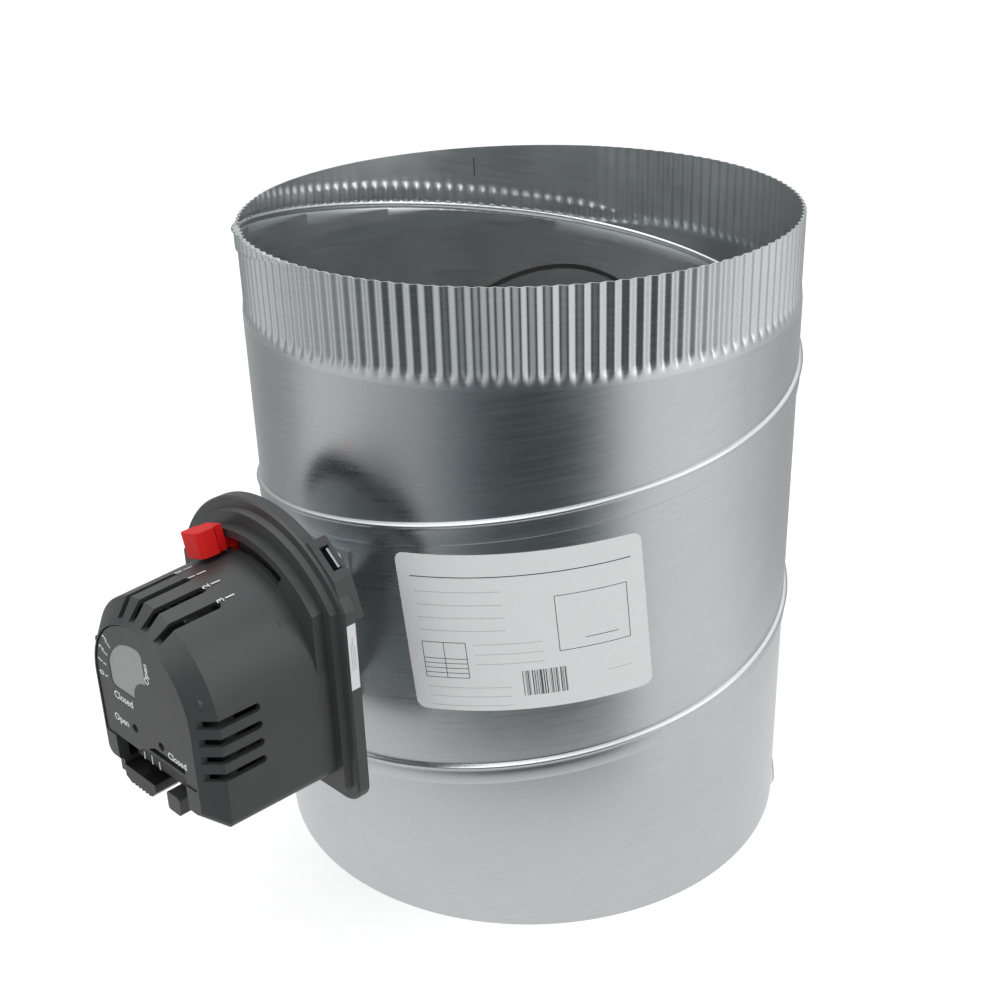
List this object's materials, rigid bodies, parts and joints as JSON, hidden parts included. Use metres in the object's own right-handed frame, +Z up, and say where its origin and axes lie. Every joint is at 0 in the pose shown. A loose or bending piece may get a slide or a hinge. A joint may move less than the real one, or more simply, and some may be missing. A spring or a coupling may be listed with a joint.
{
  "type": "volume control damper",
  "caption": "Round spiral duct section with a crimped end, a gasketed disc blade turned by a standoff rotary actuator with a position window",
  "frame": {"origin": "centre of the plain lower end of the duct, on the duct's axis", "axes": "+Z up the duct's axis to the crimped end, -Y from the duct's axis to the actuator, +X to the right seen from the actuator's front"},
  "size_m": [0.2592, 0.3675, 0.3048],
  "materials": {
    "galvanised": "galvanised sheet, satin with soft streaks",
    "zinc_steel": "zinc plated, fine satin",
    "shaft_steel": "turned steel",
    "gasket_rubber": "matt black",
    "bushing_plastic": "black nylon",
    "housing_plastic": "dark grey, fine grain",
    "face_plastic": "dark grey, printed",
    "window_plastic": "frosted light grey",
    "red_plastic": "red",
    "black_plastic": "black",
    "gear_plastic": "natural nylon",
    "board_green": "green circuit board",
    "light_green": "clear green",
    "light_amber": "clear amber",
    "motor_can": "pressed steel can",
    "label_paper": "white paper label"
  },
  "bodies": {
    "duct_and_actuator": {"spiral_duct": "galvanised", "near_bushing": "bushing_plastic", "far_bushing": "bushing_plastic", "mounting_bracket": "zinc_steel", "actuator_base": "housing_plastic", "actuator_housing": "housing_plastic", "face_plate": "face_plastic", "indicator_window": "window_plastic", "open_light": "light_green", "closed_light": "light_amber", "side_label": "label_paper", "circuit_board": "board_green", "terminal_block": "black_plastic", "cable_latch": "black_plastic", "drive_motor": "motor_can", "gear_axles": "shaft_steel", "gear_plate": "zinc_steel", "duct_label": "label_paper"},
    "blade": {"damper_shaft": "shaft_steel", "shaft_retaining_ring": "zinc_steel", "blade_front_plate": "galvanised", "blade_rear_plate": "galvanised", "blade_gasket": "gasket_rubber", "drive_hub_gear": "gear_plastic", "position_indicator": "red_plastic"},
    "second_wheel": {"second_gear": "gear_plastic"},
    "first_wheel": {"first_gear": "gear_plastic"},
    "pinion_wheel": {"motor_pinion": "gear_plastic"},
    "range_stop": {"range_stop_lever": "red_plastic"}
  },
  "joints": [
    {"name": "blade_turn", "type": "hinge", "parent": "duct_and_actuator", "child": "blade", "pos_m": [0, 0, 0.148], "axis": [0, -1, 0], "range_deg": [0, 90]},
    {"name": "second_wheel_turn", "type": "hinge", "parent": "duct_and_actuator", "child": "second_wheel", "pos_m": [0.0144, -0.185, 0.12306], "axis": [0, -1, 0], "range_deg": [-460, 10]},
    {"name": "first_wheel_turn", "type": "hinge", "parent": "duct_and_actuator", "child": "first_wheel", "pos_m": [-0.00215, -0.185, 0.12014], "axis": [0, -1, 0], "range_deg": [-10, 1660]},
    {"name": "pinion_turn", "type": "hinge", "parent": "duct_and_actuator", "child": "pinion_wheel", "pos_m": [-0.01614, -0.185, 0.12014], "axis": [0, -1, 0], "range_deg": [-6060, 10]},
    {"name": "range_stop_turn", "type": "hinge", "parent": "duct_and_actuator", "child": "range_stop", "pos_m": [0, -0.165, 0.148], "axis": [0, 1, 0], "range_deg": [0, 37.5]}
  ],
  "couplings": [
    {"joint": "second_wheel_turn", "follows": "blade_turn", "ratio": -5},
    {"joint": "first_wheel_turn", "follows": "blade_turn", "ratio": 18.333},
    {"joint": "pinion_turn", "follows": "blade_turn", "ratio": -67.222}
  ]
}
